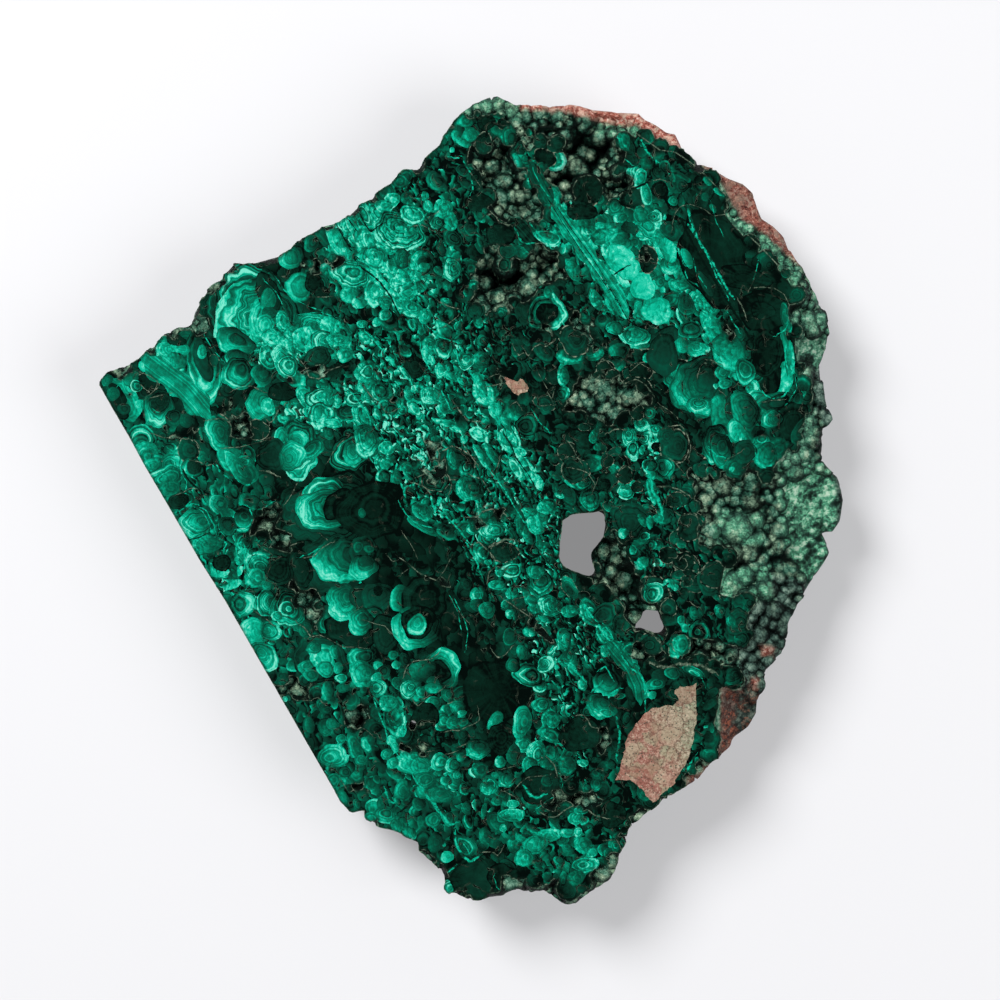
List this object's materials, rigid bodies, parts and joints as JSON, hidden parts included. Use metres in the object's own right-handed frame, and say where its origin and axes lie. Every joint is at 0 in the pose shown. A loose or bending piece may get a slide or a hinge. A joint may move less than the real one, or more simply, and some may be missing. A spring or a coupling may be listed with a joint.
{
  "type": "polished stone slab",
  "caption": "Flat slice of banded nodular malachite, polished on the upper face, with rough natural rims, one straight sawn side and open cavities.",
  "frame": {"origin": "Centre of the slab's bounding box, on the sawn back it lies on.", "axes": "+Z points out of the polished face, square to it and the shortest way through. +X points to the right and +Y up as the polished face is seen in the picture; +Y is the longest way."},
  "size_m": [0.1382, 0.1492, 0.015],
  "materials": {
    "malachite": "polished upper face, rough rims, sawn back"
  },
  "bodies": {
    "root": {"malachite_slab": "malachite"}
  },
  "joints": []
}
